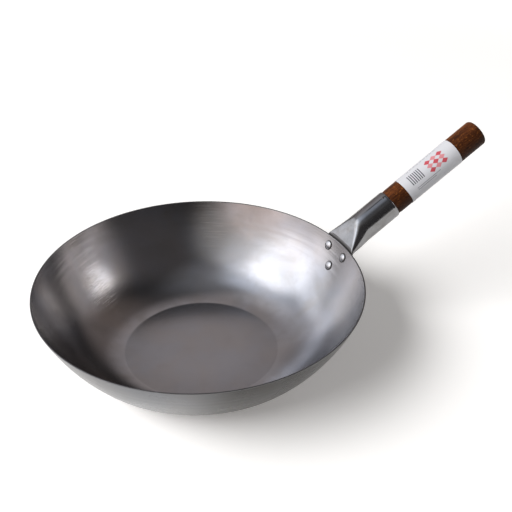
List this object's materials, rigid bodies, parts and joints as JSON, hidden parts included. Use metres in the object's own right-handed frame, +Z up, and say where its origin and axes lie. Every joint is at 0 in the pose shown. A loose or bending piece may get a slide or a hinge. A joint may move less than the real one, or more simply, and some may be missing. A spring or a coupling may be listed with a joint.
{
  "type": "flat-bottom wok",
  "caption": "Round spun steel wok with a flat base and flared wall, and a long wooden handle held in a flattened tube socket riveted under the rim.",
  "frame": {"origin": "middle of the flat base, on the surface the wok stands on", "axes": "+X along the handle, away from the bowl; +Z up out of the bowl"},
  "size_m": [0.5404, 0.355, 0.1998],
  "materials": {
    "spun_steel": "satin, with fine rings from spinning",
    "socket_steel": "bright rolled sheet",
    "rivet_steel": "polished",
    "stained_wood": "dark reddish brown stain, satin",
    "nail_steel": "dull",
    "sleeve_paper": "white printed paper"
  },
  "bodies": {
    "root": {"wok_bowl": "spun_steel", "handle_socket": "socket_steel", "rivet_upper_left": "rivet_steel", "rivet_upper_right": "rivet_steel", "rivet_lower": "rivet_steel", "wood_grip": "stained_wood", "grip_nail": "nail_steel", "paper_sleeve": "sleeve_paper"}
  },
  "joints": []
}
